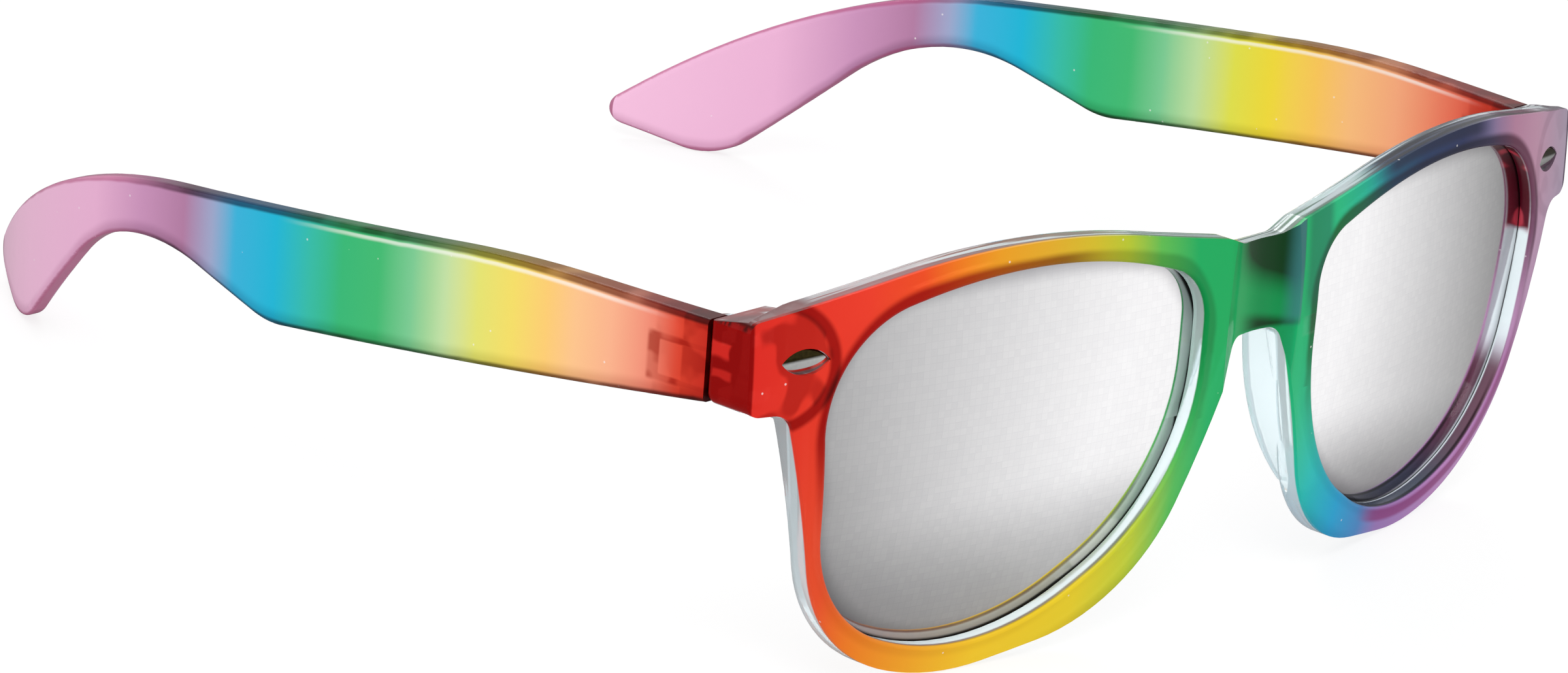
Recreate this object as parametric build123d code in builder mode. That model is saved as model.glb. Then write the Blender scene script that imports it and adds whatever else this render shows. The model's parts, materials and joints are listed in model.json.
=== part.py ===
from build123d import *
from math import atan2, cos, degrees, hypot, radians, sin, sqrt
import os

# Diffraction glasses in the style of sunglasses: a clear moulded front, printed on its face,
# two mirrored lenses backed by grating film, and two folding temples on screw hinges.
# Everything is drawn upright: X to the wearer's left, Y back to the ears, Z up from
# the lenses' mid height, the bridge's face at Y = 0. At the end the pair is leaned
# back until the rims and the temple tips stand on one table.

# Lenses and rims
lens_width = 52.0
lens_height = 43.4
nose_gap = 20.2          # between the two openings, at their widest
rim_top = 2.6
rim_bottom = 3.2
rim_side = 3.6
rim_nasal = 4.3
rim_depth = 3.6          # front face to back face
rim_edge_round = 0.8
rim_back_round = 1.2
opening_edge_round = 0.4
overrun = 1.0            # how far cuts run past the faces they leave by

# Curved face: a barrel, bent one way by the wrap and the other by the rise
wrap_radius = 223.0
rise_radius = 135.0
crown_height = 9.2       # level where the face stands furthest forward
face_half_height = 45.0

# Lens seat
lip_depth = 2.0          # printed lip in front of the lens
lens_thickness = 1.0
film_thickness = 0.15
film_gap = 0.02          # layer of glue
seat_reach = 1.0         # groove beyond the opening
seat_clearance = 0.05

# Bridge
bridge_bottom = 8.1
bridge_top = 18.9
bridge_corner_round = 2.0
bridge_shoulder_round = 4.0
scoop_half_width = 6.5
scoop_depth = 1.6
scoop_top = 20.2

# Nose pads
pad_reach = 8.2          # back from the bridge's face
pad_width = 4.0
pad_rear_width = 3.0
pad_round = 0.7

# End pieces
end_overhang = 6.1       # outer side beyond the rim's
end_bottom = 9.2
end_top = 19.4
end_depth = 17.9         # back to the temple joint
end_fall = 0.9           # how far the block's top drops towards the joint
end_corner_round = 1.5
end_crook_round = 2.5
boss_radius = 6.6
boss_height = 14.4
boss_inset = 3.3         # boss centre in from the outer side

# Hinges
pin_radius = 0.7
pin_clearance = 0.05
knuckle_radius = 2.0
knuckle_clearance = 0.4  # knuckle to the face behind the joint
tongue_height = 4.4
ear_height = 1.6
knuckle_gap = 0.15
hinge_height = 12.9
hinge_inset = 5.8        # pin centre in from the outer side
tongue_root = 7.1        # tongue's length along the temple
screw_head_radius = 1.25
screw_head_depth = 0.7
slot_width = 0.35
slot_depth = 0.3

# Temples
temple_length = 133.5
temple_drop = 35.3       # top edge down to the lowest point of the tip
temple_thickness = 3.4   # at the joint
temple_thin = 2.6        # from the bow back
temple_bow = 1.9
temple_turn_in = 20.4
temple_joint_gap = 0.25
temple_top_height = 18.7
temple_outer_round = 0.6
temple_inner_round = 0.8
lean_steps = 4           # rounds of working out how far the pair leans back

# Almond rivets
rivet_length = 5.9
rivet_height = 2.8
rivet_sink = 0.3         # crown of the rivet below the printed face
rivet_seat_depth = 1.1
rivet_dome_radius = 2.8
rivet_stem_radius = 0.65
rivet_stem_length = 2.6
rivet_clearance = 0.05
rivet_inset = 6.6        # centre in from the outer side
rivet_level = 14.8
rivet_tilt = 4.0

# Corner polygons. Each row is a corner across, a corner up and its rounding,
# as shares of the opening's or rim's width, height and height.
opening_shares = (
    (-0.502, 0.380, 0.160),
    (-0.052, 0.548, 1.500),
    (0.518, 0.388, 0.300),
    (0.460, -0.368, 0.400),
    (0.004, -0.570, 0.650),
    (-0.502, -0.196, 0.610),
)
lower_rim_shares = (
    (0.163, 0.065, 0.440),
    (0.605, -0.014, 0.590),
    (0.889, 0.094, 0.400),
)
boss_clear_share = 1.2
crook_share = 1.018
brow_across_share = 0.517
brow_up_share = 1.031
brow_round_share = 1.850
# Each row is a share of the temple's length back from the joint, of its drop below
# the top edge, and of its length for the rounding.
temple_shares = (
    (-0.02, 0.006, 0.0),
    (0.198, 0.0, 1.210),
    (0.810, 0.276, 0.681),
    (1.0, 0.870, 0.016),
    (0.890, 1.0, 0.058),
    (0.689, 0.317, 0.206),
    (0.488, 0.512, 0.093),
    (-0.02, 0.256, 0.0),
)
bow_share = 0.27
turn_start_share = 0.61
turn_start_in_share = 0.086
# Middle line of a nose pad: shares of the rim's width out from its nasal side and
# of its height up from the lenses' mid height.
pad_shares = ((0.035, 0.122), (0.072, -0.071), (0.180, -0.269))

# Places worked out from the sizes above
lens_centre = (nose_gap + lens_width) / 2
rim_left = nose_gap / 2 - rim_nasal
end_reach = nose_gap / 2 + lens_width + rim_side + end_overhang
rim_low = -lens_height / 2 - rim_bottom
rim_width = lens_width + rim_nasal + rim_side
rim_height = lens_height + rim_top + rim_bottom
seat_width = lens_thickness + film_gap + film_thickness + 2 * seat_clearance
boss_across = end_reach - boss_inset
pin_across = end_reach - hinge_inset
pin_back = end_depth + knuckle_clearance + knuckle_radius
wrap_axis = Axis((0, wrap_radius, 0), (0, 0, 1))
backwards = (0, 1, 0)


def face_back(across, height):
    """How far the curved front lies behind the bridge's face at a place on it."""
    rise = rise_radius - sqrt(rise_radius**2 - (height - crown_height) ** 2)
    return wrap_radius - sqrt((wrap_radius - rise) ** 2 - across**2)


def barrel_faces(builder):
    """The two widest curved faces of a piece of the front, the foremost first."""
    return builder.faces().sort_by(SortBy.AREA)[-2:].sort_by(Axis.Y)


def clear_of_bosses(edge):
    """Whether an edge's middle stands well away from both end pieces' bosses."""
    middle = edge @ 0.5
    return hypot(abs(middle.X) - boss_across, middle.Z - boss_height) > boss_clear_share * boss_radius


def behind_face(depth, mode):
    """Everything behind the curved front, offset back by a depth."""
    top = crown_height + face_half_height
    bottom = crown_height - face_half_height
    radius = rise_radius - depth
    edge = rise_radius - sqrt(radius**2 - face_half_height**2)
    with BuildSketch(Plane.YZ) as section:
        with BuildLine():
            ThreePointArc((edge, bottom), (depth, crown_height), (edge, top))
            Polyline((edge, top), (wrap_radius, top), (wrap_radius, bottom), (edge, bottom))
        make_face()
    revolve(section.sketch, axis=wrap_axis, mode=mode)


def opening_line():
    """The lens opening's rounded outline, on the wearer's left."""
    corners = [(lens_centre + a * lens_width, u * lens_height) for a, u, r in opening_shares]
    rounds = [r * lens_height for a, u, r in opening_shares]
    FilletPolyline(*corners, radius=rounds, close=True)


def front_line():
    """The front's outline: bridge, rims, end pieces and brow, both halves."""
    lower = [(rim_left + a * rim_width, rim_low + u * rim_height) for a, u, r in lower_rim_shares]
    points = [(0, bridge_bottom), (rim_left - bridge_corner_round, bridge_bottom)] + lower
    points += [
        (rim_left + crook_share * rim_width, end_bottom),
        (end_reach, end_bottom),
        (end_reach, end_top),
        (rim_left + brow_across_share * rim_width, rim_low + brow_up_share * rim_height),
        (scoop_half_width, scoop_top),
        (scoop_half_width / 2, bridge_top),
        (0, bridge_top),
    ]
    rounds = [bridge_corner_round] + [r * rim_height for a, u, r in lower_rim_shares]
    rounds += [end_crook_round, end_corner_round, end_corner_round, brow_round_share * rim_height]
    rounds += [bridge_shoulder_round / 2, bridge_shoulder_round]
    FilletPolyline(*points, radius=rounds)
    mirror(about=Plane.YZ)


def pin_plane(height):
    """Level plane on the left hinge's pin line."""
    return Plane(origin=(pin_across, pin_back, height), z_dir=(0, 0, 1))


# Groove that each lens sits in
with BuildPart() as lens_groove:
    with BuildSketch(Plane.XZ):
        with BuildLine():
            opening_line()
        make_face()
        offset(amount=seat_reach)
    extrude(amount=end_depth + overrun, dir=backwards)
    behind_face(lip_depth, Mode.INTERSECT)
    behind_face(lip_depth + seat_width, Mode.SUBTRACT)

# Hollow behind the rims, which leaves the blocks of the end pieces standing
with BuildPart() as rim_hollow:
    behind_face(rim_depth, Mode.ADD)
    with BuildSketch(Plane.XZ):
        for side in (-1, 1):
            centre = side * boss_across
            with Locations((centre, boss_height)):
                Circle(boss_radius)
            with Locations((centre + side * boss_radius, boss_height)):
                Rectangle(2 * boss_radius, 2 * boss_radius)
    extrude(amount=end_depth + overrun, dir=backwards, mode=Mode.SUBTRACT)

# Space above the end pieces' blocks, whose tops fall towards the joint
with BuildPart() as space_above_blocks:
    with BuildSketch(Plane.YZ.offset(-end_reach - overrun)):
        with BuildLine():
            start = face_back(end_reach, end_top) + rim_edge_round
            above = end_top + boss_radius
            behind = end_depth + overrun
            fall_line = Line((start, end_top), (end_depth, end_top - end_fall))
            Polyline(fall_line @ 1, (behind, end_top - end_fall), (behind, above), (start, above))
            Line((start, above), fall_line @ 0)
        make_face()
    extrude(amount=2 * (end_reach + overrun))

# Nose pad on the wearer's left, a curved fin that tapers back from the rim's nasal side
with BuildPart() as nose_pad:
    line = [Vector(rim_left + a * rim_width, u * rim_height) for a, u in pad_shares]
    for back, width in ((lip_depth, pad_width), (pad_reach, pad_rear_width)):
        with BuildSketch(Plane.XZ.offset(-back)):
            SlotArc(ThreePointArc(*line), width)
    loft()
    fillet(nose_pad.faces().sort_by(Axis.Y)[-1].edges(), pad_round)
    behind_face(lip_depth, Mode.INTERSECT)

# Ear of the left hinge, used above and below the temple's knuckle
with BuildPart() as hinge_ear:
    with BuildSketch(pin_plane(0)):
        Circle(knuckle_radius)
        with Locations((0, -(knuckle_clearance + knuckle_radius) / 2)):
            Rectangle(2 * knuckle_radius, knuckle_clearance + knuckle_radius)
    extrude(amount=ear_height)

lower_ear_height = hinge_height - tongue_height / 2 - knuckle_gap - ear_height
upper_ear_height = hinge_height + tongue_height / 2 + knuckle_gap
screw_top_height = upper_ear_height + ear_height

# Holes of the left hinge: shaft clearance through both ears and the head's cone
with BuildPart() as hinge_hole:
    with BuildSketch(pin_plane(lower_ear_height)):
        Circle(pin_radius + pin_clearance)
    extrude(amount=screw_top_height - lower_ear_height)
    with BuildSketch(pin_plane(screw_top_height - screw_head_depth)):
        Circle(screw_head_radius + pin_clearance)
    extrude(amount=screw_head_depth)


def rivet_plane():
    """Plane on the curved front at the left rivet, facing out."""
    across = end_reach - rivet_inset
    slope = degrees(atan2(across, wrap_radius - face_back(across, rivet_level)))
    turned = Plane(
        origin=(across, face_back(across, rivet_level), rivet_level),
        x_dir=(cos(radians(slope)), sin(radians(slope)), 0),
        z_dir=(sin(radians(slope)), -cos(radians(slope)), 0),
    )
    return turned.rotated((0, 0, -rivet_tilt))


def rivet_sketch(grow):
    """Almond outline of the rivet, as two crossed discs."""
    half_height = rivet_height / 2 + grow
    half_length = rivet_length / 2 + grow
    disc_radius = (half_length**2 + half_height**2) / (2 * half_height)
    with Locations((0, disc_radius - half_height)):
        Circle(disc_radius)
    with Locations((0, half_height - disc_radius)):
        Circle(disc_radius, mode=Mode.INTERSECT)


# Recess and stem hole of the left rivet
with BuildPart() as rivet_hole:
    with BuildSketch(rivet_plane().offset(overrun)):
        rivet_sketch(rivet_clearance)
    extrude(amount=-(overrun + rivet_seat_depth + rivet_clearance))
    with BuildSketch(rivet_plane()):
        Circle(rivet_stem_radius + rivet_clearance)
    extrude(amount=-(rivet_seat_depth + rivet_stem_length + rivet_clearance))

# Front: rims, bridge, nose pads and end pieces moulded in one
with BuildPart() as front_frame:
    with BuildSketch(Plane.XZ.offset(overrun)):
        with BuildLine():
            front_line()
        make_face()
    extrude(amount=end_depth + overrun, dir=backwards)
    behind_face(0, Mode.INTERSECT)
    fillet(barrel_faces(front_frame)[-1].edges(), rim_edge_round)
    add(rim_hollow.part, mode=Mode.SUBTRACT)
    back_edges = barrel_faces(front_frame)[1].edges()
    fillet(back_edges.filter_by(clear_of_bosses), rim_back_round)
    add(space_above_blocks.part, mode=Mode.SUBTRACT)
    add(nose_pad.part)
    mirror(nose_pad.part, about=Plane.YZ)
    with BuildSketch(Plane.XZ.offset(overrun)):
        with BuildLine():
            opening_line()
        make_face()
        mirror(about=Plane.YZ)
    extrude(amount=end_depth + overrun, dir=backwards, mode=Mode.SUBTRACT)
    for rim in barrel_faces(front_frame)[0].inner_wires():
        fillet(rim.edges(), opening_edge_round)
    # Concave scoop in the bridge's face
    scoop_radius = (scoop_half_width**2 + scoop_depth**2) / (2 * scoop_depth)
    with BuildSketch(Plane.XY.offset(-face_half_height)):
        with Locations((0, scoop_depth - scoop_radius)):
            Circle(scoop_radius)
    extrude(amount=2 * face_half_height, mode=Mode.SUBTRACT)
    # Ears for the screw hinges
    for height in (lower_ear_height, upper_ear_height):
        ear = hinge_ear.part.moved(Location((0, 0, height)))
        add(ear)
        mirror(ear, about=Plane.YZ)
    for cut in (lens_groove.part, hinge_hole.part, rivet_hole.part):
        add(cut, mode=Mode.SUBTRACT)
        mirror(cut, about=Plane.YZ, mode=Mode.SUBTRACT)

# Outline of a lens as it sits in its groove
with BuildSketch(Plane.XZ) as seated_outline:
    with BuildLine():
        opening_line()
    make_face()
    offset(amount=seat_reach - 2 * seat_clearance)

# Mirrored lens in the left rim
with BuildPart() as left_lens:
    extrude(seated_outline.sketch, amount=end_depth, dir=backwards)
    behind_face(lip_depth + seat_clearance, Mode.INTERSECT)
    behind_face(lip_depth + seat_clearance + lens_thickness, Mode.SUBTRACT)

# Grating film glued to the back of the left lens
with BuildPart() as left_diffraction_film:
    film_depth = lip_depth + seat_clearance + lens_thickness + film_gap
    extrude(seated_outline.sketch, amount=end_depth, dir=backwards)
    behind_face(film_depth, Mode.INTERSECT)
    behind_face(film_depth + film_thickness, Mode.SUBTRACT)

# Almond rivet pressed into the left end piece
with BuildPart() as left_rivet:
    with BuildSketch(rivet_plane().offset(-rivet_seat_depth)):
        rivet_sketch(0)
    extrude(amount=rivet_seat_depth)
    dome_plane = rivet_plane().offset(-rivet_sink - rivet_dome_radius)
    with BuildSketch(Plane(dome_plane.origin, x_dir=dome_plane.z_dir, z_dir=dome_plane.x_dir)):
        Circle(rivet_dome_radius)
    extrude(amount=rivet_length, both=True, mode=Mode.INTERSECT)
    with BuildSketch(rivet_plane().offset(-rivet_seat_depth)):
        Circle(rivet_stem_radius)
    extrude(amount=-rivet_stem_length)

# Slotted screw that pins the left hinge
with BuildPart() as left_hinge_screw:
    with BuildSketch(pin_plane(lower_ear_height)):
        Circle(pin_radius)
    extrude(amount=screw_top_height - lower_ear_height)
    with BuildSketch(pin_plane(screw_top_height - screw_head_depth + pin_clearance)):
        Circle(screw_head_radius)
    extrude(amount=screw_head_depth - pin_clearance)
    with BuildSketch(pin_plane(screw_top_height)):
        Rectangle(2 * screw_head_radius + overrun, slot_width)
    extrude(amount=-slot_depth, mode=Mode.SUBTRACT)

# Left temple: a band bowed in plan, cut to the side outline, with its hinge tongue
with BuildPart() as left_temple:
    outer_edges = ShapeList()
    inner_edges = ShapeList()
    bow = Vector(end_reach + temple_bow, end_depth + bow_share * temple_length)
    turn_across = end_reach + temple_bow - turn_start_in_share * temple_turn_in
    turn = Vector(turn_across, end_depth + turn_start_share * temple_length)
    tip = Vector(end_reach - temple_turn_in, end_depth + temple_length)
    with BuildSketch(Plane.XY.offset(temple_top_height + overrun)):
        with BuildLine():
            start = end_depth + temple_joint_gap
            outer = ThreePointArc((end_reach, start), bow, turn)
            outer_turn = TangentArc(turn, tip, tangent=outer % 1)
            thin = Vector(temple_thin, 0)
            inner = ThreePointArc((end_reach - temple_thickness, start), bow - thin, turn - thin)
            inner_turn = TangentArc(turn - thin, tip - thin, tangent=inner % 1)
            Line(outer @ 0, inner @ 0)
            Line(outer_turn @ 1, inner_turn @ 1)
        make_face()
    extrude(amount=-(temple_drop + 2 * overrun))
    with BuildSketch(Plane.YZ.offset(end_reach + temple_bow + overrun)):
        with BuildLine():
            corners = [
                (end_depth + a * temple_length, temple_top_height - d * temple_drop)
                for a, d, r in temple_shares
            ]
            rounds = [r * temple_length for a, d, r in temple_shares[1:-1]]
            FilletPolyline(*corners, radius=rounds)
            Line(corners[-1], corners[0])
        make_face()
    extrude(amount=-end_reach, mode=Mode.INTERSECT)
    bent_faces = left_temple.faces().filter_by(GeomType.CYLINDER).sort_by(SortBy.AREA)[-4:]
    for pair in (bent_faces.sort_by(Axis.Y)[:2], bent_faces.sort_by(Axis.Y)[2:]):
        outer_edges += pair.sort_by(Axis.X)[1].edges().filter_by(Axis.Z, reverse=True)
        inner_edges += pair.sort_by(Axis.X)[0].edges().filter_by(Axis.Z, reverse=True)
    fillet(outer_edges, temple_outer_round)
    fillet(inner_edges, temple_inner_round)
    with BuildSketch(pin_plane(hinge_height - tongue_height / 2)):
        Circle(knuckle_radius)
        root = hinge_inset - temple_thickness + overrun
        with Locations((root / 2, tongue_root / 2 - knuckle_radius)):
            Rectangle(root, tongue_root)
    extrude(amount=tongue_height)
    with BuildSketch(pin_plane(hinge_height - tongue_height / 2)):
        Circle(pin_radius + pin_clearance)
    extrude(amount=tongue_height, mode=Mode.SUBTRACT)

pieces = {
    "front_frame": front_frame,
    "left_lens": left_lens,
    "left_diffraction_film": left_diffraction_film,
    "left_rivet": left_rivet,
    "left_hinge_screw": left_hinge_screw,
    "left_temple": left_temple,
}
for name, piece in list(pieces.items()):
    if name.startswith("left_"):
        with BuildPart() as twin:
            mirror(piece.part, about=Plane.YZ)
        pieces[name.replace("left_", "right_")] = twin


def leaned_back(piece, lean):
    """Bounding box of a piece once the pair is leaned back by an angle."""
    return piece.part.moved(Location((0, 0, 0), (-lean, 0, 0))).bounding_box()


# Lean the pair back until the rims and the temple tips stand on one table
lean = 0
for settling in range(lean_steps):
    tips_above = leaned_back(left_temple, lean).min.Z - leaned_back(front_frame, lean).min.Z
    lean += degrees(atan2(tips_above, temple_length))
face_box = leaned_back(front_frame, lean)
temple_box = leaned_back(left_temple, lean)
middle = (face_box.min.Y + temple_box.max.Y) / 2
seat = Location((0, -middle, -face_box.min.Z)) * Location((0, 0, 0), (-lean, 0, 0))

os.makedirs("parts", exist_ok=True)
for name, piece in pieces.items():
    piece.part.move(seat)
    piece.part.label = name
    export_step(piece.part, f"parts/{name}.step")
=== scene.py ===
import json
import math

import bmesh
import bpy
from mathutils import Matrix, Vector

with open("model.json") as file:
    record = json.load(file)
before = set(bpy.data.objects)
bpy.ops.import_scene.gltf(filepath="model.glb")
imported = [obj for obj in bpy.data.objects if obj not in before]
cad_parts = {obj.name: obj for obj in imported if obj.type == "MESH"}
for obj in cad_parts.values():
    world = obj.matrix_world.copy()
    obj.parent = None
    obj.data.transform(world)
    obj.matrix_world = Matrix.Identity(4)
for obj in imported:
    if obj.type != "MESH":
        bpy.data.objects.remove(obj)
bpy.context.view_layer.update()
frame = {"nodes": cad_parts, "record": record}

bl_info = {
    "name": "Diffraction Glasses",
    "version": (1, 0, 0),
    "blender": (4, 5, 0),
    "location": "View3D > Sidebar > Glasses",
    "description": "Finishes a pair of rainbow-printed diffraction glasses with mirrored lenses",
    "category": "Object",
}

LEFT_HINGE = next(j for j in frame["record"]["behaviour"]["joints"] if j["name"] == "left_hinge")
LEAN = math.atan2(LEFT_HINGE["axis"][1], LEFT_HINGE["axis"][2])

MM = 0.001

# A lens's outline is read in so many directions, at so many places along each edge of its mesh
REACH_STEPS = 72
REACH_SHARES = 17
REACH_LIMIT = 40 * MM
# A temple's top and bottom are read at so many places, over a reach back from the first one
PROFILE_STEPS = 96
PROFILE_START = 15.5 * MM
PROFILE_REACH = 138 * MM
PROFILE_LEVELS = (-20 * MM, 20 * MM)

# Places on the front: across from its middle plane, and up from the lenses' mid height
FRONT_ENDS = (-72 * MM, 72 * MM)
SIDE_FACE = 71.1 * MM
BLOCK_ACROSS = 68.5 * MM
BLOCK_LEVEL = 14.4 * MM
RIVET_ACROSS = 65.2 * MM
RIVET_LEVEL = 14.8 * MM
RIVET_SLOPE = -0.07
# Ends of the temples' print, back from the bridge's face
TEMPLE_ENDS = (18 * MM, 152 * MM)

# Pitch of the film's fine squares, which show through the lens's coat
GRID_PITCH = 0.8 * MM
# Clear plastic: its bending of light, its unevenness, and the dust and bubbles in it
PLASTIC_IOR = 1.49
GRAINS_PER_METRE = 700.0
BUMP_DISTANCE = 0.2 * MM
SPECKS_PER_METRE = 330.0
SPECK_RADIUS = 0.16 * MM
# Cells to the metre of the lines in the front's top edge: long across, thin from front to back
LINES_ACROSS = 45.0
LINES_DEEP = 1700.0
SCRATCH_ROUGHNESS = 0.05

# Colour sockets of the Mix node, which have the same names as its other ones
MIX_FACTOR, MIX_FIRST, MIX_SECOND, MIX_COLOUR = 0, 6, 7, 2

# Half the floor's side in metres, the share of its light that is its own, and the surround's light
FLOOR_HALF = 4.0
GLOW_SHARE = 0.8
WORLD_LIGHT = 0.75
# Name, place in metres, width and length, power in watts
LAMPS = (
    ("key_lamp", (-0.5, -0.4, 0.9), (0.6, 0.6), 5.2),
    ("rim_lamp", (0.5, 0.7, 0.8), (0.8, 0.3), 4.0),
)
# The soft box that the lenses mirror: its light rises and falls with the turn about a corner
# ahead of the wearer's right lens, in radians, and is dimmer close to the glasses
SOFT_BOX_CORNER = (-60 * MM, -30 * MM)
RISE_TURN, RISE_LEVEL, RISE_RATE = 0.25, 0.44, 1.19
FALL_TURN, FALL_RATE = 1.10, 2.6
LEAST_LIGHT = 0.2
NEAR_SHARE = 0.42
MIRROR_DARK, MIRROR_CONTRAST = 0.227, 1.164


def tone(code):
    """Linear colour of a six-digit colour code."""
    parts = [int(code[k : k + 2], 16) / 255 for k in (0, 2, 4)]
    linear = [c / 12.92 if c <= 0.04045 else ((c + 0.055) / 1.055) ** 2.4 for c in parts]
    return (*linear, 1.0)


# Print colours across the front, from the wearer's right end piece to the left one.
# Each row is a place across in millimetres and its colour.
BROW_PRINT = (
    (-72, "DA2A22"),
    (-58, "E63A26"),
    (-51, "E84A1E"),
    (-46, "EA7A1A"),
    (-41, "E69A1E"),
    (-34, "DDA826"),
    (-28, "D0B826"),
    (-23, "B4C22C"),
    (-18, "5CB84C"),
    (-12, "10A85A"),
    (4, "08A858"),
    (13, "18B47A"),
    (18, "0CA888"),
    (24, "0A7496"),
    (31, "16467E"),
    (40, "303C78"),
    (47, "786C94"),
    (54, "B4809C"),
    (61, "C294AC"),
    (72, "B0A2B6"),
)
CHIN_PRINT = (
    (-72, "E03C30"),
    (-60, "E6512A"),
    (-55, "EC7A24"),
    (-46, "F0A428"),
    (-37, "F2C62A"),
    (-24, "E6CC28"),
    (-17, "C0CC34"),
    (-12, "5CBA50"),
    (-8, "1CAC60"),
    (8, "24B882"),
    (14, "16B8B4"),
    (22, "1AA2D2"),
    (29, "4A88C4"),
    (34, "9A78B8"),
    (48, "BC88C0"),
    (72, "C4A0C8"),
)
# Print colours along the temples, in millimetres back from the bridge's face.
TEMPLE_PRINT = (
    (18, "D83426"),
    (22, "E84C34"),
    (26, "F07A58"),
    (31, "FAA878"),
    (36, "FDBE78"),
    (40, "FDC850"),
    (45, "F4DC38"),
    (50, "E2E24E"),
    (55, "BEE0A0"),
    (60, "7CCC94"),
    (65, "44BC74"),
    (71, "3ABA78"),
    (76, "38BEA8"),
    (82, "20B8D8"),
    (89, "3CB4DC"),
    (93, "A0A8CC"),
    (98, "B47EA4"),
    (106, "CC94BC"),
    (116, "ECB4D6"),
    (150, "FACAE4"),
)

# Tones in and behind the print, among them dust, painted shade, a painted sheen and a painted glint
DEEPEST_SHADE = tone("04040A")
DUST = tone("F6F4F2")
BRIDGE_SHADE_GREEN = tone("14564A")
BRIDGE_TEAL = tone("3A787A")
BROW_SHADE_NAVY = tone("141C38")
RIM_MAGENTA = tone("86206C")
MAROON = (tone("5A0C1E"), tone("C8384A"))
FAR_TOP_SHADE = (tone("101A3C"), tone("5C1038"))
TEMPLE_SHEEN = tone("FFF4F0")
TIP_EDGE_SHADE = tone("C0487E")
TEMPLE_GLINT = tone("FFFDF6")


class FrontSizes(bpy.types.PropertyGroup):
    """Sizes of the front as it stood before it was leaned back, and of its print"""

    wrap_radius: bpy.props.FloatProperty(
        name="Wrap radius",
        description="Bend of the front around the face",
        default=0.223,
        subtype="DISTANCE",
    )
    rise_radius: bpy.props.FloatProperty(
        name="Rise radius",
        description="Bend of the front from brow to cheek",
        default=0.135,
        subtype="DISTANCE",
    )
    crown_height: bpy.props.FloatProperty(
        name="Crown height",
        description="Level where the front stands furthest forward",
        default=0.0092,
        subtype="DISTANCE",
    )
    hinge_back: bpy.props.FloatProperty(
        name="Hinge back",
        description="Hinge pin behind the bridge's face",
        default=0.0203,
        subtype="DISTANCE",
    )
    hinge_up: bpy.props.FloatProperty(
        name="Hinge up",
        description="Hinge's middle above the lenses' mid height",
        default=0.0129,
        subtype="DISTANCE",
    )
    lens_centre: bpy.props.FloatProperty(
        name="Lens centre",
        description="Lens centre out from the middle plane",
        default=0.0361,
        subtype="DISTANCE",
    )
    lens_overlap: bpy.props.FloatProperty(
        name="Lens overlap",
        description="How far a lens reaches behind its rim",
        default=0.0009,
        subtype="DISTANCE",
    )
    temple_print_shift: bpy.props.FloatProperty(
        name="Print shift",
        description="How much further back the left temple's print lies",
        default=0.0135,
        subtype="DISTANCE",
    )
    print_edge: bpy.props.FloatProperty(
        name="Print edge",
        description="How far the print runs round the front's edge",
        default=0.0004,
        subtype="DISTANCE",
    )


class FinishColours(bpy.types.PropertyGroup):
    """Colours of the coat, the plastic and the floor"""

    silver: bpy.props.FloatVectorProperty(
        name="Silver", description="Coat of the lenses", default=tone("FEFDFE"), size=4, subtype="COLOR"
    )
    squares: bpy.props.FloatVectorProperty(
        name="Squares",
        description="Coat over the darkest of the film's fine squares",
        default=tone("F5F4F6"),
        size=4,
        subtype="COLOR",
    )
    plastic: bpy.props.FloatVectorProperty(
        name="Plastic", description="Clear plastic", default=tone("EFF9FC"), size=4, subtype="COLOR"
    )
    floor: bpy.props.FloatVectorProperty(
        name="Floor", description="Pale floor", default=tone("FCFCFC"), size=4, subtype="COLOR"
    )


class StageSizes(bpy.types.PropertyGroup):
    """Where the camera stands"""

    azimuth: bpy.props.FloatProperty(
        name="Azimuth",
        description="Camera's turn about the object",
        default=math.radians(-49.85),
        subtype="ANGLE",
    )
    elevation: bpy.props.FloatProperty(
        name="Elevation",
        description="Camera's height over the object",
        default=math.radians(20.70),
        subtype="ANGLE",
    )
    roll: bpy.props.FloatProperty(
        name="Roll", description="Camera's roll", default=math.radians(7.67), subtype="ANGLE"
    )
    distance: bpy.props.FloatProperty(
        name="Distance",
        description="Camera to the point it looks at",
        default=0.7878,
        subtype="DISTANCE",
    )
    target: bpy.props.FloatVectorProperty(
        name="Target",
        description="Point that the camera looks at",
        default=(-0.01869, -0.02049, 0.01833),
        subtype="XYZ",
    )
    focal_length: bpy.props.FloatProperty(
        name="Focal length", description="On a 36 mm sensor", default=158.1, unit="CAMERA"
    )


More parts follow.
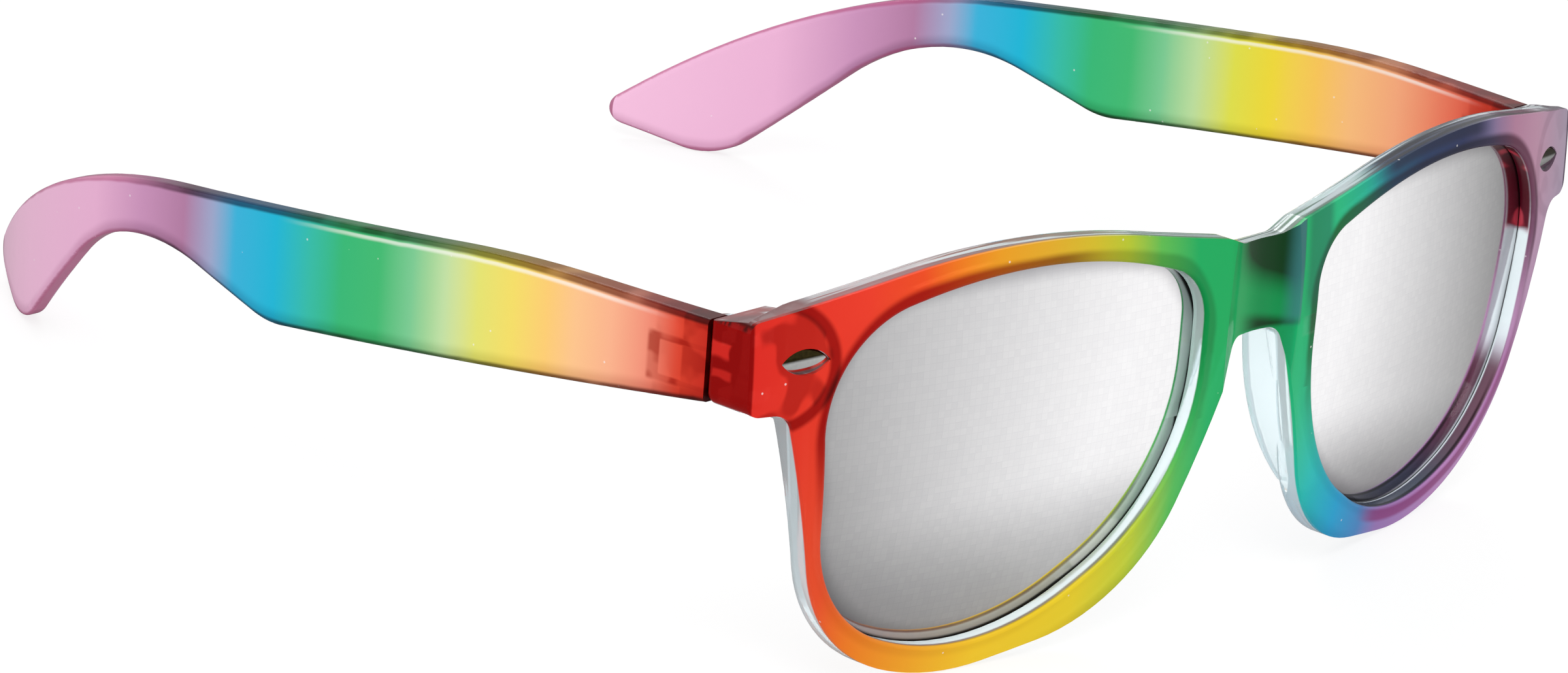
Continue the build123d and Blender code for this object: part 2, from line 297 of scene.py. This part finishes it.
class Sock:
    """A shader value that takes ordinary arithmetic."""

    def __init__(self, tree, socket):
        self.tree = tree
        self.socket = socket

    def maths(self, operation, *others):
        """One Math node on this value and the others."""
        node = self.tree.nodes.new("ShaderNodeMath")
        node.operation = operation
        for slot, value in zip(node.inputs, (self, *others)):
            put(self.tree, slot, value)
        return Sock(self.tree, node.outputs[0])

    def __add__(self, other):
        return self.maths("ADD", other)

    def __sub__(self, other):
        return self.maths("SUBTRACT", other)

    def __mul__(self, other):
        return self.maths("MULTIPLY", other)

    def __truediv__(self, other):
        return self.maths("DIVIDE", other)

    def __neg__(self):
        return self.maths("MULTIPLY", -1.0)

    def __radd__(self, other):
        return self.maths("ADD", other)

    def __rmul__(self, other):
        return self.maths("MULTIPLY", other)

    def __rsub__(self, other):
        return (-self).maths("ADD", other)

    def root(self):
        return self.maths("SQRT")

    def size(self):
        return self.maths("ABSOLUTE")

    def most(self, other):
        return self.maths("MAXIMUM", other)

    def least(self, other):
        return self.maths("MINIMUM", other)

    def step(self, low, high):
        """0 at low, 1 at high, smooth between them."""
        node = self.tree.nodes.new("ShaderNodeMapRange")
        node.interpolation_type = "SMOOTHSTEP"
        for name, value in (("Value", self), ("From Min", low), ("From Max", high)):
            put(self.tree, node.inputs[name], value)
        return Sock(self.tree, node.outputs["Result"])

    def step_mm(self, low, high):
        """0 at one place and 1 at another, both in millimetres."""
        return self.step(low * MM, high * MM)

    def span_mm(self, low, high, soft):
        """1 between two places in millimetres, 0 outside them, with soft ends inside them."""
        return self.step_mm(low, low + soft) * self.step_mm(high, high - soft)


def put(tree, slot, value):
    """Links a shader value to a socket, or sets the socket's own value."""
    if isinstance(value, Sock):
        tree.links.new(value.socket, slot)
    else:
        slot.default_value = value


class Finish:
    """A node material under construction."""

    def __init__(self, name):
        self.material = bpy.data.materials.new(name)
        self.material.use_nodes = True
        self.tree = self.material.node_tree
        self.tree.nodes.clear()

    def node(self, kind, settings=None, output=0, numbered=None, **inputs):
        """Adds a node: settings first, then its sockets' values or links, by number or by name."""
        node = self.tree.nodes.new(kind)
        for name, value in (settings or {}).items():
            setattr(node, name, value)
        for number, value in (numbered or {}).items():
            put(self.tree, node.inputs[number], value)
        for name, value in inputs.items():
            put(self.tree, node.inputs[name.replace("_", " ")], value)
        return Sock(self.tree, node.outputs[output])

    def place(self):
        """Object coordinates: across, back and up, in metres."""
        return self.node("ShaderNodeTexCoord", output="Object")

    def noise(self, scale, detail=2.0):
        """Soft noise over the piece, with a scale to the metre."""
        return self.node("ShaderNodeTexNoise", Vector=self.place(), Scale=scale, Detail=detail)

    def ramp(self, rows, value, low, high):
        """Colour of a table's rows at a place between low and high, in metres."""
        ramp = self.node("ShaderNodeValToRGB", Fac=(value - low) / (high - low))
        points = ramp.socket.node.color_ramp.elements
        while len(points) < len(rows):
            points.new(1.0)
        for point, (place, code) in zip(points, rows):
            point.position = (place * MM - low) / (high - low)
            point.color = tone(code)
        return ramp

    def curve(self, value, heights, low, high):
        """Curve through heights at even places from 0 to 1, between low and high."""
        curve = self.node("ShaderNodeFloatCurve", Value=value)
        mapping = curve.socket.node.mapping
        points = mapping.curves[0].points
        places = [
            ((k + 0.5) / len(heights), (height - low) / (high - low))
            for k, height in enumerate(heights)
        ]
        points[0].location = (0.0, places[0][1])
        points[1].location = (1.0, places[-1][1])
        for place in places:
            points.new(*place)
        mapping.update()
        return curve * (high - low) + low

    def blend(self, factor, first, second, way="MIX"):
        """The first colour where the factor is 0, the second where it is 1."""
        sockets = {MIX_FACTOR: factor, MIX_FIRST: first, MIX_SECOND: second}
        settings = {"data_type": "RGBA", "blend_type": way}
        return self.node("ShaderNodeMix", settings, MIX_COLOUR, sockets)

    def painted_shade(self, colour, loss=0.5):
        """Painted shade: the dark saturated tone that a colour is given where light runs inside the
        plastic.
        """
        return self.blend(1.0, colour, self.blend(loss, colour, DEEPEST_SHADE), "MULTIPLY")

    def split(self, vector):
        """The three numbers of a vector."""
        parts = self.node("ShaderNodeSeparateXYZ", Vector=vector).socket.node.outputs
        return [Sock(self.tree, part) for part in parts]

    def join(self, across, back, up):
        """The vector of three numbers."""
        return self.node("ShaderNodeCombineXYZ", X=across, Y=back, Z=up)

    def facing(self):
        """The surface's outward direction, also where it is seen from inside."""
        normal = self.node("ShaderNodeTexCoord", output="Normal")
        inside = self.node("ShaderNodeNewGeometry", output="Backfacing")
        outward = 1.0 - inside * 2.0
        return self.split(
            self.node("ShaderNodeVectorMath", {"operation": "SCALE"}, Vector=normal, Scale=outward)
        )

    def either(self, mask, first, second):
        """First shader where the mask is 0, second where it is 1."""
        return self.node("ShaderNodeMixShader", numbered={0: mask, 1: first, 2: second})

    def principled(self, **inputs):
        """The general surface shader with the given sockets."""
        return self.node("ShaderNodeBsdfPrincipled", **inputs)

    def surface(self, shader):
        """The finished material, with this shader on its surface."""
        out = self.tree.nodes.new("ShaderNodeOutputMaterial")
        put(self.tree, out.inputs["Surface"], shader)
        return self.material


def stand_up(back, up):
    """Back and up of a place, numbers or shader values, as it stood before it was leaned back."""
    sizes = bpy.context.scene.glasses_front
    _, pin_back, pin_up = LEFT_HINGE["pos_m"]
    sine, cosine = math.sin(LEAN), math.cos(LEAN)
    from_pin_back = (back - pin_back) * cosine - (up - pin_up) * sine
    from_pin_up = (back - pin_back) * sine + (up - pin_up) * cosine
    return from_pin_back + sizes.hinge_back, from_pin_up + sizes.hinge_up


def upright(finish):
    """Across, back and up of the shaded place as it stood before it was leaned back."""
    across, back, up = finish.split(finish.place())
    return (across, *stand_up(back, up))


def between(start, end, count):
    """So many points on the line from start to end, both included."""
    for k in range(count):
        share = k / (count - 1)
        yield start[0] + (end[0] - start[0]) * share, start[1] + (end[1] - start[1]) * share


def lens_reach():
    """Distance from a lens's centre to its edge in each direction, read from the lens."""
    sizes = bpy.context.scene.glasses_front
    mesh = frame["nodes"]["left_lens"].data
    places = [
        (vertex.co.x - sizes.lens_centre, stand_up(vertex.co.y, vertex.co.z)[1])
        for vertex in mesh.vertices
    ]
    reach = [0.0] * REACH_STEPS
    for edge in mesh.edges:
        start, end = (places[k] for k in edge.vertices)
        for across, up in between(start, end, REACH_SHARES):
            turn = math.atan2(up, across) / (2 * math.pi) + 0.5
            step = int(turn * REACH_STEPS) % REACH_STEPS
            reach[step] = max(reach[step], math.hypot(across, up))
    return reach


def temple_profile(side):
    """Top and bottom edges of a temple, read from it at even places back from the front."""
    mesh = frame["nodes"]["left_temple" if side > 0 else "right_temple"].data
    places = [stand_up(vertex.co.y, vertex.co.z) for vertex in mesh.vertices]
    tops = [-1.0] * PROFILE_STEPS
    bottoms = [1.0] * PROFILE_STEPS
    for edge in mesh.edges:
        start, end = (places[k] for k in edge.vertices)
        steps_crossed = abs(end[0] - start[0]) / (PROFILE_REACH / PROFILE_STEPS)
        for back, up in between(start, end, 2 + int(steps_crossed * 2)):
            step = int((back - PROFILE_START) / PROFILE_REACH * PROFILE_STEPS)
            if 0 <= step < PROFILE_STEPS:
                tops[step] = max(tops[step], up)
                bottoms[step] = min(bottoms[step], up)
    return tops, bottoms


def inside_opening(finish, across, up):
    """How far a place lies inside the nearer lens opening's edge, negative on the rim."""
    sizes = bpy.context.scene.glasses_front
    out = across.size() - sizes.lens_centre
    turn = up.maths("ARCTAN2", out) / (2 * math.pi) + 0.5
    edge = finish.curve(turn, lens_reach(), 0.0, REACH_LIMIT)
    return edge - sizes.lens_overlap - (out * out + up * up).root()


def moulded_bump(finish, strength):
    """Faint moulded unevenness in the plastic's surface."""
    grain = finish.noise(GRAINS_PER_METRE)
    return finish.node("ShaderNodeBump", Strength=strength, Distance=BUMP_DISTANCE, Height=grain)


def specks(finish):
    """1 at rare tiny bubbles and dust specks."""
    cells = finish.node(
        "ShaderNodeTexVoronoi", Vector=finish.place(), Scale=SPECKS_PER_METRE, output="Distance"
    )
    radius = SPECK_RADIUS * SPECKS_PER_METRE
    return cells.step(radius, radius * 0.6)


def clear_plastic(finish):
    """Clear plastic with faint flow marks and a faint painted glow, as if lit a little from inside as
    its edges are.
    """
    return finish.principled(
        Base_Color=bpy.context.scene.glasses_colours.plastic,
        Roughness=0.03,
        Transmission_Weight=0.7,
        IOR=PLASTIC_IOR,
        Normal=moulded_bump(finish, 0.06),
        # Painted glow: the plastic gives off a little pale light of its own
        Emission_Color=tone("E2F2F8"),
        Emission_Strength=0.11,
    )


def printed_plastic(finish, hue, edge, printed=None):
    """Plastic with a translucent glossy print, all over or only where printed is 1.

    Where edge is 1 the rounded edges are given painted shade, the print's colour dark and saturated,
    with faint streaks of painted glint.
    """
    ink = finish.principled(
        Base_Color=finish.blend(specks(finish) * 0.55, hue, DUST),
        Roughness=0.1,
        Transmission_Weight=0.08,
        Specular_IOR_Level=0.1,
        IOR=PLASTIC_IOR,
        Normal=moulded_bump(finish, 0.05),
    )
    if printed is not None:
        ink = finish.either(printed, clear_plastic(finish), ink)
    # Painted shade in the rounded edges, broken by lighter streaks of painted glint
    glint_streaks = finish.noise(190.0, 1.0).step(0.45, 0.75)
    edge_shade = finish.principled(
        Base_Color=finish.blend(glint_streaks * 0.2, finish.painted_shade(hue, 0.8), hue),
        Roughness=0.3,
        IOR=PLASTIC_IOR,
        Specular_IOR_Level=0.12,
    )
    return finish.surface(finish.either(edge, ink, edge_shade))


class FrontPlace:
    """A place on the front: where it lies, how it faces, and the masks that others share."""

    def __init__(self, finish):
        sizes = bpy.context.scene.glasses_front
        self.across, self.back, self.up = upright(finish)
        self.off_middle = self.across.size()
        above_crown = self.up - sizes.crown_height
        rise = sizes.rise_radius - (sizes.rise_radius**2 - above_crown * above_crown).root()
        reach = sizes.wrap_radius - rise
        curved = (reach * reach - self.across * self.across).root()
        self.depth = self.back - sizes.wrap_radius + curved
        self.outside = -inside_opening(finish, self.across, self.up)
        _, self.backward, self.upward = finish.facing()

        self.on_face = self.depth.step(sizes.print_edge * 1.6, sizes.print_edge)
        self.on_side = self.off_middle.step(SIDE_FACE, SIDE_FACE + 0.3 * MM)
        self.on_top = self.upward.step(0.35, 0.7)
        self.near_top = self.upward.step(0.1, 0.4)
        self.behind_edge = self.depth.step_mm(0.2, 0.6)
        in_notch = self.off_middle.step_mm(6.9, 6.5) * self.depth.step_mm(2.4, 2.0)
        self.in_scoop = in_notch * self.backward.step(-0.2, -0.5)

        self.blotches = finish.noise(230.0, 1.0)
        self.waver = (self.blotches - 0.5) * (3 * MM)


def front_rainbow(finish, at):
    """The front's print: the brow's colours above, turning into the chin's below."""
    brow = finish.ramp(BROW_PRINT, at.across, *FRONT_ENDS)
    chin = finish.ramp(CHIN_PRINT, at.across, *FRONT_ENDS)
    return finish.blend(at.up.step_mm(16, -18), brow, chin)


def front_ink(at):
    """1 on the printed face, sides and scoop of the bridge, and less on the rims' backs."""
    rim_back = at.backward.step(0.6, 0.85) * at.depth.step_mm(3.0, 3.4) * at.depth.step_mm(4.5, 3.9)
    return at.on_face.most(at.in_scoop).most(at.on_side).most(rim_back * 0.75)


def lens_seat_shade(at):
    """Painted shade at the lens's seat, dark through the print: more so at the brow, less beside the
    bridge.
    """
    band = at.outside.step_mm(1.5, 0.6) * at.on_face
    by_height = 0.15 + at.up.step_mm(-6, 8) * 0.8
    beside_bridge = at.across.span_mm(-33, 10, 8)
    return band * by_height * (1.0 - beside_bridge * 0.55)


def hinge_block_shade(at):
    """Painted shade over the block behind each end piece: a ring around it and blotches in it, faint at
    the left.
    """
    out, rise = at.off_middle - BLOCK_ACROSS, at.up - BLOCK_LEVEL
    reach = (out * out + rise * rise).root()
    ring = reach.step_mm(5.8, 6.4) * reach.step_mm(7.8, 7.1) * at.on_face
    middle = reach.step_mm(6.8, 6.0) * at.on_face * at.blotches.step(0.50, 0.58) * 0.55
    left_side = at.across.step_mm(0, 10)
    return ring * (0.9 - left_side * 0.7), middle * (1.0 - left_side * 0.8)


def end_side_shade(at):
    """Painted shade on an end piece's side, over the hinge's block, lighter at two windows."""
    waver = at.waver
    upper = (at.back + waver).span_mm(14.3, 17.6, 0.5) * (at.up + waver).span_mm(14.4, 16.7, 0.5)
    lower = (at.back - waver).span_mm(14.0, 17.4, 0.6) * (at.up - waver).span_mm(12.2, 13.7, 0.5)
    return at.on_side * (0.97 - upper * 0.8 - lower * 0.55)


def lower_edge_shade(at):
    """Painted shade along the rims' outer edge under the lenses."""
    return at.outside.step_mm(3.0, 5.2) * at.up.step_mm(-14, -19) * 0.3


def bridge_shade(at):
    """Deep colour in the hollow of the bridge, under its crown and at its foot."""
    hollow = at.off_middle.step_mm(6.7, 5.6) * (0.12 + at.across.step_mm(-4.0, 1.5) * 0.5)
    crown = (at.up + at.across * 0.35).step_mm(12.2, 18.0) * at.across.step_mm(-5.8, -1.0)
    foot_band = (at.up + at.across * 0.2).step_mm(10.6, 9.0) * at.up.step_mm(7.8, 8.6)
    foot = foot_band * at.across.step_mm(-4, 1)
    return at.in_scoop * (hollow * 0.6 + crown * 0.9 + foot * 0.6).least(0.97)


def bridge_flank_shade(at):
    """Painted shade of darker green on the face beside the bridge's scoop, on the wearer's left."""
    return at.across.span_mm(6.6, 12.5, 1.6) * at.up.step_mm(7, 12) * at.on_face * 0.55


def scoop_flank(at):
    """The scoop's own left side, above its foot."""
    return at.in_scoop * at.across.step_mm(3.6, 6.2) * at.up.step_mm(7.5, 9.5) * 0.8


def left_brow_shade(at):
    """The left brow, with painted navy shade towards its top edge."""
    above_lens = at.outside.step_mm(-0.2, 2.2) * at.up.step_mm(11, 17)
    return at.across.span_mm(19, 49, 6) * above_lens * at.on_face * 0.9


def left_chin(at):
    """A line of magenta along the opening's edge under the left lens."""
    under_lens = at.outside.span_mm(-0.2, 2.1, 0.7) * at.up.step_mm(3, -12)
    return under_lens * at.across.span_mm(27, 66, 6) * 0.75


def left_corner(at):
    """The wall of the left opening at its outer upper corner."""
    corner = at.across.span_mm(54, 64, 0.8) * (at.up + at.waver).span_mm(6.0, 20.5, 1.2)
    return corner * at.outside.step_mm(0.6, 0.0) * at.depth.step_mm(0.2, 0.8)


def left_top_shade(at):
    """Two dark lines of painted shade along the left brow's top wall."""
    lines = at.depth.span_mm(0.2, 2.1, 0.3).most(at.depth.span_mm(2.6, 3.4, 0.3) * 0.8)
    return at.near_top * lines * at.across.span_mm(16, 67, 8)


def shaded_edges(finish, at):
    """Painted shade on the front's top wall and on the tops and joint faces of its hinge blocks."""
    wall = at.on_top * at.behind_edge * at.depth.step_mm(1.0, 0.7)
    # Thin dark lines of painted shade run along the top edge, standing in for the print seen through
    # the plastic
    stretched = finish.join(at.across * LINES_ACROSS, at.depth * LINES_DEEP, 0.0)
    lines = finish.node("ShaderNodeTexNoise", Vector=stretched, Scale=1.0, Detail=1.0)
    top_edge = at.near_top * at.outside.step_mm(0.6, 1.6) * at.behind_edge
    wall = wall.most(top_edge * lines.step(0.47, 0.57))
    joint_face = at.backward.step(0.7, 0.85) * at.off_middle.step_mm(61.5, 62.5)
    block_top = at.on_top * at.off_middle.step_mm(62.5, 65.0) * at.blotches.step(0.62, 0.52)
    return (wall * 0.8).most(joint_face).most(block_top * 0.85)


def front_finish():
    """The clear front with its rainbow print, and the painted shade that stands in for what shows
    through the print.
    """
    finish = Finish("rainbow_printed_front")
    at = FrontPlace(finish)
    hue = front_rainbow(finish, at)
    # Painted shade at the lens seats, over the hinge blocks, on the end pieces' sides and along the
    # lower edges
    for mask in (lens_seat_shade(at), *hinge_block_shade(at), end_side_shade(at), lower_edge_shade(at)):
        hue = finish.blend(mask, hue, finish.painted_shade(hue))
    hue = finish.blend(bridge_shade(at), hue, finish.painted_shade(hue, 0.85))
    hue = finish.blend(bridge_flank_shade(at), hue, BRIDGE_SHADE_GREEN)
    hue = finish.blend(left_brow_shade(at), hue, BROW_SHADE_NAVY)
    hue = finish.blend(left_chin(at), hue, RIM_MAGENTA)
    corner = left_corner(at)
    hue = finish.blend(corner, hue, finish.blend(at.blotches.step(0.52, 0.60), *MAROON))
    hue = finish.blend(scoop_flank(at), hue, BRIDGE_TEAL)
    # Painted shade: dark lines along the left brow's top wall
    top = left_top_shade(at)
    hue = finish.blend(top, hue, finish.blend(at.across.step_mm(44, 58), *FAR_TOP_SHADE))
    printed = front_ink(at).most(corner).most(top * 0.92)
    return printed_plastic(finish, hue, shaded_edges(finish, at), printed)


def hinge_shade_in_temple(finish, back, up):
    """Painted shade where the hinge's tongue and its outline lie behind the temple's plastic at the
    joint.
    """
    off_level = (up - bpy.context.scene.glasses_front.hinge_up).size()
    root = back.step_mm(25.2, 24.6) * (0.2 + back.step_mm(21.5, 21.1) * 0.4)
    whole = off_level.step_mm(3.0, 2.4) * back.step_mm(26.2, 25.6)
    middle = off_level.step_mm(2.1, 1.7) * back.step_mm(24.5, 24.1)
    outline = whole * (1.0 - middle)
    blotches = finish.noise(330.0, 1.0).step(0.40, 0.56)
    return root.most(outline * 0.8) * (0.5 + blotches * 0.5)


def temple_finish(side):
    """A temple with its print: side is 1 for the wearer's left temple, -1 for the right one."""
    sizes = bpy.context.scene.glasses_front
    finish = Finish("rainbow_printed_temple_" + ("left" if side > 0 else "right"))
    _, back, up = upright(finish)
    shift = sizes.temple_print_shift if side > 0 else 0.0
    past_red = back.step_mm(8, 74)
    hue = finish.ramp(TEMPLE_PRINT, back - past_red * shift, *TEMPLE_ENDS)
    # Painted sheen: the front half of the temple's print is paled towards white, more on the right
    # temple
    pale = back.span_mm(21, 58, 6) * (0.03 if side > 0 else 0.12)
    hue = finish.blend(pale, hue, TEMPLE_SHEEN)
    hue = finish.blend(hinge_shade_in_temple(finish, back, up), hue, finish.painted_shade(hue))

    _, backward, upward = finish.facing()
    tops, bottoms = temple_profile(side)
    along = (back - PROFILE_START) / PROFILE_REACH
    below_top = finish.curve(along, tops, *PROFILE_LEVELS) - up
    above_bottom = up - finish.curve(along, bottoms, *PROFILE_LEVELS)
    # Painted shade on the temple's top and bottom faces, its rounded edges and its joint face
    joint_face = backward.step(-0.7, -0.85) * back.step_mm(19.5, 19.0)
    rounded = below_top.step_mm(0.9, 0.5).most(above_bottom.step_mm(0.9, 0.4))
    edge = upward.size().step(0.5, 0.75).most(joint_face).most(rounded * 0.9)
    tip = back.step_mm(96, 114)
    # Painted shade at the tip's edges, pinker and milder than elsewhere
    hue = finish.blend(edge * tip * 0.6, hue, TIP_EDGE_SHADE)
    # A line of light runs along under the top edge, up to the print's blue
    glint = below_top.step_mm(0.8, 1.0) * below_top.step_mm(1.5, 1.1) * back.step_mm(22, 34)
    hue = finish.blend(glint * back.step_mm(82, 66) * 0.6, hue, TEMPLE_GLINT)
    # Painted shade along the temple's bottom edge
    low = above_bottom.step_mm(2.2, 0.8)
    hue = finish.blend(low * 0.35, hue, finish.painted_shade(hue))
    return printed_plastic(finish, hue, edge * (1.0 - tip * 0.8))


def mirror_finish():
    """Silver coat over the film's fine squares, with a painted shaded border and a dark outline of
    painted shade at the rim.
    """
    finish = Finish("silver_mirror_lens")
    colours = bpy.context.scene.glasses_colours
    across, _, up = upright(finish)
    inside = inside_opening(finish, across, up)
    ruled = [(place / GRID_PITCH).maths("FRACT").step(0.86, 0.96) for place in (across, up)]
    lines = ruled[0].most(ruled[1])
    cell = [(place / GRID_PITCH).maths("FLOOR") for place in (across, up)]
    squares = finish.node(
        "ShaderNodeTexWhiteNoise", output="Value", Vector=finish.join(cell[0], 0.0, cell[1])
    )
    silver = finish.blend(squares * 0.5 + lines * 0.5, colours.silver, colours.squares)
    # Painted shade along the lens's border, and a dark line of painted shade at its edge
    silver = finish.blend(inside.step_mm(3.0, 0.0), silver, tone("B9B7BB"))
    silver = finish.blend(inside.step_mm(0.7, 0.3), silver, tone("1C1A1B"))
    return finish.surface(finish.principled(Base_Color=silver, Metallic=1.0, Roughness=0.07))


def film_finish():
    """Thin pale grating film, slightly uneven in tone."""
    finish = Finish("ruled_grating_film")
    uneven = finish.blend(finish.noise(400.0), tone("D9DCE6"), tone("E8E6EE"))
    return finish.surface(finish.principled(Base_Color=uneven, Roughness=0.2, Alpha=0.6))


def polished(finish, scratches, colour, roughness):
    """Metal of this colour, a little rougher along its fine scratches."""
    rough = scratches * SCRATCH_ROUGHNESS + roughness
    return finish.surface(finish.principled(Base_Color=colour, Metallic=1.0, Roughness=rough))


def screw_finish():
    """Bright screw steel."""
    finish = Finish("bright_screw")
    scratches = finish.noise(2500.0, 3.0)
    steel = finish.blend(scratches, tone("A9A9AC"), tone("C4C4C6"))
    return polished(finish, scratches, steel, 0.16)


def rivet_finish():
    """Polished dome, with a painted dark tone over its upper half for its shade and its dark
    reflection.
    """
    finish = Finish("polished_rivet")
    across, _, up = upright(finish)
    tilted = up - RIVET_LEVEL - (across.size() - RIVET_ACROSS) * RIVET_SLOPE
    scratches = finish.noise(2500.0, 3.0)
    shine = finish.blend(scratches, tone("DADBD9"), tone("F2F2F0"))
    # Painted shade and dark reflection over the dome's upper half
    shadow = finish.blend(scratches, tone("16130C"), tone("4A4122"))
    dome = finish.blend(tilted.step_mm(-0.05, 0.35), shine, shadow)
    return polished(finish, scratches, dome, 0.04)


def dress(node, material):
    """Gives a CAD node's object its material."""
    mesh = frame["nodes"][node].data
    mesh.materials.clear()
    mesh.materials.append(material)


class GLASSES_OT_front(bpy.types.Operator):
    """Print the clear front"""

    bl_idname = "glasses.front"
    bl_label = "Front"

    def execute(self, context):
        dress("front_frame", front_finish())
        return {"FINISHED"}


class GLASSES_OT_temples(bpy.types.Operator):
    """Print both temples"""

    bl_idname = "glasses.temples"
    bl_label = "Temples"

    def execute(self, context):
        dress("left_temple", temple_finish(1))
        dress("right_temple", temple_finish(-1))
        return {"FINISHED"}


class GLASSES_OT_lenses(bpy.types.Operator):
    """Coat the lenses and their grating films"""

    bl_idname = "glasses.lenses"
    bl_label = "Lenses"

    def execute(self, context):
        coat = mirror_finish()
        film = film_finish()
        for side in ("left", "right"):
            dress(f"{side}_lens", coat)
            dress(f"{side}_diffraction_film", film)
        return {"FINISHED"}


class GLASSES_OT_fasteners(bpy.types.Operator):
    """Polish the rivets and hinge screws"""

    bl_idname = "glasses.fasteners"
    bl_label = "Rivets and screws"

    def execute(self, context):
        rivet = rivet_finish()
        screw = screw_finish()
        for side in ("left", "right"):
            dress(f"{side}_rivet", rivet)
            dress(f"{side}_hinge_screw", screw)
        return {"FINISHED"}


class GLASSES_OT_stage(bpy.types.Operator):
    """Set the floor, the lights and the camera"""

    bl_idname = "glasses.stage"
    bl_label = "Stage"

    def execute(self, context):
        scene = context.scene
        scene.view_settings.view_transform = "Standard"
        self.make_floor(scene)
        self.make_world(scene)
        for lamp in LAMPS:
            self.make_lamp(scene, *lamp)
        self.make_camera(scene)
        return {"FINISHED"}

    def make_floor(self, scene):
        """A wide pale floor that glows white, but sends the soft box's light to mirrors."""
        mesh = bpy.data.meshes.new("floor")
        bm = bmesh.new()
        bmesh.ops.create_grid(bm, x_segments=1, y_segments=1, size=FLOOR_HALF)
        bm.to_mesh(mesh)
        bm.free()
        floor = bpy.data.objects.new("floor", mesh)
        scene.collection.objects.link(floor)
        finish = Finish("pale_floor")
        across, back, _ = finish.split(finish.place())
        glossy = finish.node("ShaderNodeLightPath", output="Is Glossy Ray")
        through = finish.node("ShaderNodeLightPath", output="Is Transmission Ray")
        mirrored = glossy * (1.0 - through)
        level = mirrored * self.soft_box(across, back) + (1.0 - mirrored)
        paper = finish.node("ShaderNodeBsdfDiffuse", Color=scene.glasses_colours.floor)
        glow = finish.node("ShaderNodeEmission", Color=level)
        floor.data.materials.append(finish.surface(finish.either(GLOW_SHARE, paper, glow)))

    def soft_box(self, across, back):
        """Light of the soft box at a place on the floor."""
        away = (across * across + back * back).root()
        turn = (across - SOFT_BOX_CORNER[0]).maths("ARCTAN2", SOFT_BOX_CORNER[1] - back)
        rising = (turn - RISE_TURN) * RISE_RATE + RISE_LEVEL
        falling = 1.0 - (turn - FALL_TURN) * FALL_RATE
        light = rising.least(falling).least(1.0).most(LEAST_LIGHT)
        nearness = NEAR_SHARE + away.step_mm(76, 112) * (1.0 - NEAR_SHARE)
        return ((light * nearness - MIRROR_DARK) * MIRROR_CONTRAST).most(0.0)

    def make_world(self, scene):
        """An even white surround."""
        world = bpy.data.worlds.new("studio")
        world.use_nodes = True
        scene.world = world
        surround = world.node_tree.nodes["Background"]
        surround.inputs["Color"].default_value = (1, 1, 1, 1)
        surround.inputs["Strength"].default_value = WORLD_LIGHT

    def make_lamp(self, scene, name, place, size, power):
        """A soft lamp turned towards the glasses."""
        data = bpy.data.lights.new(name, "AREA")
        data.shape = "RECTANGLE"
        data.size, data.size_y = size
        data.energy = power
        lamp = bpy.data.objects.new(name, data)
        lamp.location = place
        lamp.rotation_euler = (-Vector(place)).to_track_quat("-Z", "Y").to_euler()
        scene.collection.objects.link(lamp)

    def make_camera(self, scene):
        """The camera at the photograph's viewing angle."""
        sizes = scene.glasses_stage
        azimuth, elevation, roll = sizes.azimuth, sizes.elevation, sizes.roll
        away = Vector(
            (
                math.sin(azimuth) * math.cos(elevation),
                -math.cos(azimuth) * math.cos(elevation),
                math.sin(elevation),
            )
        )
        right = Vector((math.cos(azimuth), math.sin(azimuth), 0))
        up = away.cross(right)
        turned_right = right * math.cos(roll) + up * math.sin(roll)
        turned_up = up * math.cos(roll) - right * math.sin(roll)
        data = bpy.data.cameras.new("camera")
        data.lens = sizes.focal_length
        data.sensor_width = 36.0
        data.clip_start = 0.05
        camera = bpy.data.objects.new("camera", data)
        turn = Matrix((turned_right, turned_up, away)).transposed().to_4x4()
        place = Vector(sizes.target) + away * sizes.distance
        camera.matrix_world = Matrix.Translation(place) @ turn
        scene.collection.objects.link(camera)
        scene.camera = camera


class GLASSES_PT_panel(bpy.types.Panel):
    """Steps that finish the glasses"""

    bl_idname = "GLASSES_PT_panel"
    bl_label = "Diffraction glasses"
    bl_space_type = "VIEW_3D"
    bl_region_type = "UI"
    bl_category = "Glasses"

    def draw(self, context):
        for step in STEPS:
            self.layout.operator(step.bl_idname)


STEPS = (
    GLASSES_OT_front,
    GLASSES_OT_temples,
    GLASSES_OT_lenses,
    GLASSES_OT_fasteners,
    GLASSES_OT_stage,
)
CLASSES = (FrontSizes, FinishColours, StageSizes, *STEPS, GLASSES_PT_panel)


def register():
    for item in CLASSES:
        bpy.utils.register_class(item)
    bpy.types.Scene.glasses_front = bpy.props.PointerProperty(type=FrontSizes)
    bpy.types.Scene.glasses_colours = bpy.props.PointerProperty(type=FinishColours)
    bpy.types.Scene.glasses_stage = bpy.props.PointerProperty(type=StageSizes)


def unregister():
    del bpy.types.Scene.glasses_front
    del bpy.types.Scene.glasses_colours
    del bpy.types.Scene.glasses_stage
    for item in reversed(CLASSES):
        bpy.utils.unregister_class(item)


def main():
    register()
    bpy.ops.glasses.front()
    bpy.ops.glasses.temples()
    bpy.ops.glasses.lenses()
    bpy.ops.glasses.fasteners()
    bpy.ops.glasses.stage()


if __name__ == "__main__":
    main()
